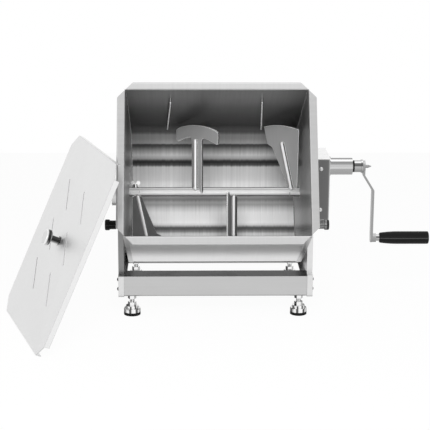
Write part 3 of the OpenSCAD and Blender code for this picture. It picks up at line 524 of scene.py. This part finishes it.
# Painted reflections in bands on upright bars and turned pieces, from their left side at -1 to their right side at
# 1
BAR_BANDS = (
    (-1.0, 90), (-0.85, 130), (-0.65, 255), (0.1, 255), (0.45, 235), (0.65, 120), (0.85, 84), (1.0, 110),
)
KNOB_BANDS = (
    (-1.0, 190), (-0.6, 245), (-0.1, 225), (0.1, 140), (0.3, 40), (0.55, 70), (0.75, 190), (1.0, 90),
)
BLADE_BANDS = (
    (-1.0, 120), (-0.9, 180), (-0.82, 196), (-0.72, 196), (-0.6, 235), (0.1, 255), (0.35, 235),
    (0.5, 100), (0.68, 82), (0.74, 108), (0.82, 108), (1.0, 80),
)
CUP_BANDS = (
    (-1.0, 30), (-0.85, 60), (-0.6, 235), (-0.4, 250), (-0.3, 90), (-0.15, 70), (0.0, 245), (0.35, 255),
    (0.5, 90), (0.62, 60), (0.75, 235), (1.0, 30),
)

# Painted light and shade: the greys of the side frames by the way each face looks, and those of the left one's
# post, darker with a painted reflection of the lid's dark edge
FRAME_GREYS = (226, 190, 236, 120, 205)
POST_GREYS = (140, 190, 150, 120, 205)

# How fine brush lines are along each axis, on bars that lie across the mixer and on pieces without
# a grain; and the length of the drawn knob's head
ALONG_X = (40, 900, 900)
GRAIN = (500, 500, 500)
KNOB_HEAD = 0.006


def necked(tree, where):
    """A turned neck with painted reflections, and black plastic with painted light and shade on the head beyond
    it.
    """
    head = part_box("lock_knob_right")[1][0] - KNOB_HEAD
    along = add(tree, "SeparateXYZ", {"Vector": where["Object"]}).outputs["X"]
    neck = reflections_by_roll(tree, where, NECK_BANDS)
    plastic_head = light_and_shade_by_face(tree, where, 30, 24, 40, 20, 34)
    return mix(tree, maths(tree, "GREATER_THAN", along, head), neck, plastic_head)


def beside_lid(tree, where):
    """The left frame: its post has a painted reflection of the lid's dark edge, its foot the same painted light
    and shade as the right one.
    """
    foot_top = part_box("front_rail")[1][2]
    height = add(tree, "SeparateXYZ", {"Vector": where["Object"]}).outputs["Z"]
    foot = light_and_shade_by_face(tree, where, *FRAME_GREYS)
    post = light_and_shade_by_face(tree, where, *POST_GREYS)
    return mix(tree, maths(tree, "GREATER_THAN", height, foot_top), foot, post)


# The greys below are painted light and shade by the way a face looks and painted reflection bands, with a painted
# highlight along the edges
tank_trough = tank_sheet("trough sheet", TROUGH_BANDS, FRONT_BANDS)
tank_rear = tank_sheet("rear wall sheet", REAR_BANDS, WALL_BANDS)
tank_ends = end_sheet()
frame_sheet = brushed("frame sheet", faces(*FRAME_GREYS), 0.34, (16, 900, 900), contrast=0.06)
left_frame = brushed("left frame sheet", beside_lid, 0.34, (16, 900, 900), contrast=0.06)
# The rails: painted light and shade by facing, and a painted highlight along their edges
rail_sheet = brushed("rail sheet", faces(199, 186, 80, 110, 180), 0.34, (12, 900, 900), edge=0.4)
# The gear cover: painted shade on its front, painted light on its top and sides, and a strong painted highlight
# along its bends
cover_sheet = brushed("gear cover sheet", faces(106, 150, 240, 110, 218), 0.3, (500, 500, 14),
                      contrast=0.25, edge=2.5, width=0.003)
# The lid: painted light and shade by facing, and painted shade along its edges and slots
lid_sheet = brushed("lid sheet", faces(243, 226, 244, 200, 226), 0.42, (600, 600, 600), contrast=0.05,
                    edge=-0.55, width=0.0014)
shaft_bar = brushed("agitator bar", rolled_reflections(*SHAFT_BANDS), 0.16, (1500, 40, 40), contrast=0.08, marks=0.2,
                    metal=0.35)
# The blades: painted reflection bands and a painted bright outline along their edges
blades = brushed("ground blades", upright(*BLADE_BANDS), 0.32, (500, 500, 60), edge=2.5, width=0.0025,
                 metal=0.35)
breaker_bar = brushed("breaker bar", upright(*BAR_BANDS), 0.2, (600, 600, 600), contrast=0.06)
weld_metal = brushed("weld metal", faces(235, 190, 245, 110, 180), 0.2, GRAIN, contrast=0.5, metal=0.8)
housing_bar = brushed("crank housing bar", rolled_reflections(*HOUSING_BANDS), 0.2, ALONG_X, contrast=0.06, marks=0.2)
collar_bar = brushed("collar bar", rolled_reflections(*COLLAR_BANDS), 0.2, ALONG_X, contrast=0.06, marks=0.2)
arm_bar = brushed("crank arm bar", faces(160, 120, 200, 120, 150), 0.3, (500, 40, 40))
lid_grip = brushed("lid knob plating", upright(*KNOB_BANDS), 0.12, GRAIN, contrast=0.05)
bolt_heads = brushed("dark bolt heads", faces(24, 24, 40, 16, 24), 0.3, (900, 900, 900))
screws = brushed("screw heads", faces(210, 150, 225, 90, 120), 0.25, (900, 900, 900))
chrome = brushed("bright plating", upright(*CUP_BANDS), 0.08, GRAIN, contrast=0.03, marks=0.5)
cut_steel = brushed("cut gear steel", faces(150, 150, 160, 110, 140), 0.3, (60, 700, 700), contrast=0.2)
rubber = plastic("foot rubber", faces(24, 24, 30, 20, 24), 0.6, 0.1, grain=500.0, depth=0.0003)
black = plastic("black grip plastic", rolled_reflections(*GRIP_BANDS), 0.4, 0.12)
drawn_knob = plastic("black knob and neck", necked, 0.35, 0.3)
white = plastic("bush plastic", faces(225, 215, 232, 200, 220), 0.4, 0.4)

SLOT_FINISH = {
    "tank_steel": tank_ends, "frame_steel": frame_sheet, "cover_steel": cover_sheet, "lid_steel": lid_sheet,
    "blade_steel": blades, "bar_steel": shaft_bar, "gear_steel": cut_steel, "fastener_steel": screws,
    "plated_steel": chrome, "pad_rubber": rubber, "black_plastic": black, "white_plastic": white,
}
NODE_FINISH = {
    "tank_trough": tank_trough, "tank_rear_wall": tank_rear, "side_frame_left": left_frame,
    "front_rail": rail_sheet, "rear_rail": rail_sheet, "rail_bolts": bolt_heads,
    "crank_housing": housing_bar, "crank_collar": collar_bar, "crank_shaft": collar_bar,
    "crank_arm": arm_bar, "grip_pin": collar_bar, "breaker_bars": breaker_bar,
    "lid_knob": lid_grip, "lock_knob_right": drawn_knob,
}
for entry in frame["record"]["subparts"]:
    mesh = nodes[entry["node"]].data
    mesh.materials.clear()
    mesh.materials.append(NODE_FINISH.get(entry["node"], SLOT_FINISH[entry["material_slot"]]))


# Small pieces: welds and threads


def new_piece(name, made, body, finish):
    """Turns a bmesh into a finished piece that rides on a body."""
    bmesh.ops.recalc_face_normals(made, faces=made.faces)
    mesh = bpy.data.meshes.new(name)
    made.to_mesh(mesh)
    made.free()
    mesh.materials.append(finish)
    for polygon in mesh.polygons:
        polygon.use_smooth = True
    piece = bpy.data.objects.new(name, mesh)
    bpy.context.scene.collection.objects.link(piece)
    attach(piece, body)


def tube(made, path, radii, sides=8):
    """Adds a round skin along a path, with a radius at each of its points, to a bmesh."""
    rings = []
    across = None
    for i, point in enumerate(path):
        way = (path[min(i + 1, len(path) - 1)] - path[max(i - 1, 0)]).normalized()
        if across is None:
            across = way.orthogonal()
        across = (across - way * across.dot(way)).normalized()
        over = way.cross(across)
        rings.append([
            made.verts.new(point + radii[i] * (math.cos(a) * across + math.sin(a) * over))
            for a in (2 * math.pi * k / sides for k in range(sides))
        ])
    for ring, following in zip(rings, rings[1:]):
        for k in range(sides):
            after = (k + 1) % sides
            made.faces.new((ring[k], ring[after], following[after], following[k]))
    made.faces.new(list(reversed(rings[0])))
    made.faces.new(rings[-1])


RIPPLE_POINTS = 4  # along a weld bead, in each of its ripples


def weld_bead(made, path, size, step=0.0024):
    """Adds a rippled weld bead along a path, with a ripple at every step; it thins out at its ends."""
    fine = []
    for first, second in zip(path, path[1:]):
        parts = max(1, round((second - first).length / (step / RIPPLE_POINTS)))
        fine += [first.lerp(second, k / parts) for k in range(parts)]
    fine.append(path[-1])
    radii = []
    run = 0.0
    for i, point in enumerate(fine):
        run += (point - fine[i - 1]).length if i else 0.0
        ripple = abs(math.sin(math.pi * run / step))
        from_end = min(i, len(fine) - 1 - i)
        thinned = min(1.0, 0.35 + 0.4 * from_end / 3)
        radii.append(size * thinned * (0.8 + 0.25 * ripple))
    tube(made, fine, radii)


# Places of the agitator and the tank at rest, and of a paddle on the shaft's other side
AGITATOR = Matrix.Translation(AXIS) @ Matrix.Rotation(-TURN, 4, "X")
TANK = Matrix.Translation(AXIS) @ Matrix.Rotation(TILT, 4, "X")
HALF_TURN = Matrix.Rotation(math.pi, 4, "Y")

# The shaft, the blades' pitch to it and the end blades' lean, and the rods on the blades' faces
SHAFT_R = 0.011
PITCH = math.radians(52)
LEAN = math.radians(12)
ROD_R = 0.005
ROD_OUT = 0.006

# The beads at the blades' roots: their size, their middle from the blade's and from the rod's skin,
# their lift off the shaft, and how far round the shaft they go
BEAD = 0.002
BEAD_FROM_BLADE = 0.0028
BEAD_FROM_ROD = 0.0009
BEAD_LIFT = 0.0003
BEAD_REACH = SHAFT_R * 0.94


def root_path(side, low, high):
    """Points along one face of a blade's root, round the rod where it stands.

    A point is its place along the blade and out of its face.
    """
    if side > 0:
        return [(low + (high - low) * i / 24, BEAD_FROM_BLADE) for i in range(25)]
    turn = ROD_R + BEAD_FROM_ROD
    edge = math.asin((ROD_OUT - BEAD_FROM_BLADE) / turn)
    round_rod = [math.pi - edge + (math.pi + 2 * edge) * i / 30 for i in range(31)]
    arc = [(turn * math.cos(a), -ROD_OUT + turn * math.sin(a)) for a in round_rod]
    foot = arc[0][0]
    left = [(low + (foot - low) * i / 8, -BEAD_FROM_BLADE) for i in range(8)]
    right = [(-foot + (high + foot) * (i + 1) / 8, -BEAD_FROM_BLADE) for i in range(8)]
    return left + arc + right


def root_welds(name, place, low, high, lean=0.0):
    """Beads where a paddle stands on the shaft."""
    made = bmesh.new()
    for side in (-1, 1):
        path = []
        for along, out in root_path(side, low, high):
            x = along * math.cos(PITCH) + out * math.sin(PITCH)
            y = -along * math.sin(PITCH) + out * math.cos(PITCH)
            if abs(y) < BEAD_REACH:
                z = math.sqrt(SHAFT_R ** 2 - y ** 2) + BEAD_LIFT
                path.append(place @ Vector((x / math.cos(lean) - z * math.tan(lean), y, z)))
        weld_bead(made, path, BEAD)
    new_piece(name, made, "agitator", weld_metal)


# Paddles along the shaft, and the ends of their roots along the blade
MID_X = 0.041
END_X = 0.188
MID_ROOT = (-0.015, 0.015)
END_ROOT = (-0.014, 0.010)
for name, turned, x, (low, high), lean in (
    ("mid_left", Matrix.Identity(4), -MID_X, MID_ROOT, 0.0),
    ("mid_right", HALF_TURN, -MID_X, MID_ROOT, 0.0),
    ("end_right", Matrix.Identity(4), END_X, END_ROOT, LEAN),
    ("end_left", HALF_TURN, END_X, END_ROOT, LEAN),
):
    place = AGITATOR @ turned @ Matrix.Translation((x, 0, 0))
    root_welds("root_welds_" + name, place, low, high, lean)

# The bead along a seam: its middle from both sheets, its size and ripple, and the bare sheet above it
SEAM_IN = 0.0009
SEAM_BEAD = 0.0013
SEAM_RIPPLE = 0.004
SEAM_TOP = 0.010


def seam_weld(name, x):
    """A bead down the inside corner between an end plate and the wrapped sheet, from rim to rim."""
    reach = TANK_R - SEAM_IN
    top = MOUTH_H - SEAM_TOP
    half_turn = [math.pi * i / 90 for i in range(91)]
    path = [Vector((x, reach, top - top * i / 12)) for i in range(12)]
    path += [Vector((x, reach * math.cos(a), -reach * math.sin(a))) for a in half_turn]
    path += [Vector((x, -reach, top * (i + 1) / 12)) for i in range(12)]
    made = bmesh.new()
    weld_bead(made, [TANK @ point for point in path], SEAM_BEAD, step=SEAM_RIPPLE)
    new_piece(name, made, "tank", weld_metal)


for side, across in ((-1, "left"), (1, "right")):
    seam_weld("seam_weld_" + across, side * (HALF_TANK - SEAM_IN))


# A thread's ridge: half its width in turns, and how deep its foot is sunk in the rod
RIDGE = 0.42
SUNK = -0.0002


def thread(made, foot, length, radius, pitch=0.0015, depth=0.0005, sides=24):
    """Adds a screw thread's ridge round an upright rod."""
    rows = []
    turns = length / pitch
    for i in range(int(turns * sides) + 1):
        a = 2 * math.pi * i / sides
        fade = min(1.0, i / sides, turns - i / sides)
        for lift, reach in ((-RIDGE, SUNK), (0.0, depth * fade), (RIDGE, SUNK)):
            spoke = Vector((math.cos(a), math.sin(a), 0)) * (radius + reach)
            rise = Vector((0, 0, pitch * (i / sides + lift)))
            rows.append(made.verts.new(Vector(foot) + spoke + rise))
    for i in range(0, len(rows) - 3, 3):
        for k in (0, 1):
            made.faces.new((rows[i + k], rows[i + k + 1], rows[i + k + 4], rows[i + k + 3]))
        made.faces.new((rows[i + 2], rows[i], rows[i + 3], rows[i + 5]))
    made.faces.new(rows[:3])
    made.faces.new(rows[-3:])


# The feet's places, and the lower end and length of each bare stretch of their studs
FOOT = (0.194, 0.139)
STUD_R = 0.005
THREADS = ((0.0312, 0.0066), (0.0584, 0.0062))
for side, across in ((-1, "left"), (1, "right")):
    for end, depth in ((-1, "front"), (1, "rear")):
        made = bmesh.new()
        for low, length in THREADS:
            thread(made, (side * FOOT[0], end * FOOT[1], low), length, STUD_R)
        new_piece("stud_thread_%s_%s" % (depth, across), made, "base", chrome)


# Studio

# The floor's grey and its speckle, how much of it shows as plain white, and the world's light
FLOOR_GREY = 0.88
FLOOR_SPECKLE = 0.04
WHITE_SHARE = 0.95
WORLD_LIGHT = 0.4


def studio_plane(name, corners, material):
    """A flat sheet of the studio through four corners."""
    mesh = bpy.data.meshes.new(name)
    mesh.from_pydata([Vector(c) for c in corners], [], [(0, 1, 2, 3)])
    mesh.materials.append(material)
    sheet = bpy.data.objects.new(name, mesh)
    bpy.context.scene.collection.objects.link(sheet)


def directly_seen(tree):
    """1 where the camera, a mirror or clear glass looks, 0 for the light that is spread."""
    path = add(tree, "LightPath").outputs
    seen = maths(tree, "MAXIMUM", path["Is Camera Ray"], path["Is Transmission Ray"])
    return maths(tree, "MAXIMUM", seen, path["Is Glossy Ray"])


def floor_finish():
    """A pale table: white to the camera, with the mixer's soft shadow, and white in the metal."""
    material = bpy.data.materials.new("pale floor")
    material.use_nodes = True
    tree = material.node_tree
    paint = tree.nodes["Principled BSDF"]
    paint.inputs["Roughness"].default_value = 0.8
    where = add(tree, "TexCoord").outputs["Object"]
    speckle = add(tree, "TexNoise", {"Vector": where, "Scale": 60.0, "Detail": 3.0}).outputs[0]
    tone = total(tree, FLOOR_GREY, times(tree, speckle, FLOOR_SPECKLE))
    tree.links.new(tone, paint.inputs["Base Color"])
    white = add(tree, "Emission", {"Color": WHITE, "Strength": 1.0}).outputs[0]
    seen = times(tree, directly_seen(tree), WHITE_SHARE)
    both = add(tree, "MixShader", {0: seen, 1: paint.outputs[0], 2: white})
    tree.links.new(both.outputs[0], tree.nodes["Material Output"].inputs["Surface"])
    return material


FLOOR = ((-1.8, -0.80), (1.8, 1.6))
(x0, y0), (x1, y1) = FLOOR
studio_plane("floor", [(x0, y0, 0), (x1, y0, 0), (x1, y1, 0), (x0, y1, 0)], floor_finish())


def studio_world():
    """White behind the mixer and in its metal; a little lower as a light on the rest."""
    world = bpy.data.worlds.new("studio")
    bpy.context.scene.world = world
    world.use_nodes = True
    tree = world.node_tree
    dimmed = (WORLD_LIGHT, WORLD_LIGHT, WORLD_LIGHT, 1)
    back = tree.nodes["Background"]
    tree.links.new(mix(tree, directly_seen(tree), dimmed, WHITE), back.inputs["Color"])
    back.inputs["Strength"].default_value = 1.0


studio_world()


def soft_lamp(name, place, aim, size, power, mirrored=True):
    """A square soft box; one that is not mirrored fills the shade and makes no highlight."""
    light = bpy.data.lights.new(name, "AREA")
    light.shape = "SQUARE"
    light.size = size
    light.energy = power
    lamp = bpy.data.objects.new(name, light)
    lamp.location = place
    lamp.visible_glossy = mirrored
    lamp.rotation_euler = (Vector(aim) - Vector(place)).to_track_quat("-Z", "Y").to_euler()
    bpy.context.scene.collection.objects.link(lamp)


soft_lamp("overhead box", (0.2, -0.4, 2.2), aim=(0, 0, 0.2), size=1.8, power=4.0)
soft_lamp("front fill", (0.0, -2.5, 1.5), aim=AXIS, size=1.6, power=74.0, mirrored=False)
soft_lamp("side box", (-2.2, -1.6, 1.4), aim=(0, 0, 0.3), size=1.4, power=3.0)


# The photograph's view: the camera's place, its turn to the right, dip and roll in radians, its focal
# length in pixels, and the picture's width in pixels
CAMERA = Vector((-0.0755, -3.2, 1.0618))
CAMERA_TURN = 0.02402
CAMERA_DIP = 0.26268
CAMERA_ROLL = 0.00466
FOCAL_PIXELS = 1382.17
PICTURE = 430


def photograph_camera():
    """A camera at the photograph's viewing angle."""
    data = bpy.data.cameras.new("camera")
    data.sensor_width = 36.0
    data.lens = FOCAL_PIXELS / PICTURE * data.sensor_width
    camera = bpy.data.objects.new("camera", data)
    bpy.context.scene.collection.objects.link(camera)
    level_share = math.cos(CAMERA_DIP)
    ahead = Vector((
        math.sin(CAMERA_TURN) * level_share, math.cos(CAMERA_TURN) * level_share, -math.sin(CAMERA_DIP)
    ))
    level = Vector((math.cos(CAMERA_TURN), -math.sin(CAMERA_TURN), 0))
    over = level.cross(ahead)
    right = level * math.cos(CAMERA_ROLL) + over * math.sin(CAMERA_ROLL)
    up = over * math.cos(CAMERA_ROLL) - level * math.sin(CAMERA_ROLL)
    turn = Matrix((right, up, -ahead)).transposed()
    camera.matrix_world = Matrix.Translation(CAMERA) @ turn.to_4x4()
    bpy.context.scene.camera = camera


photograph_camera()
bpy.context.scene.view_settings.view_transform = "Standard"
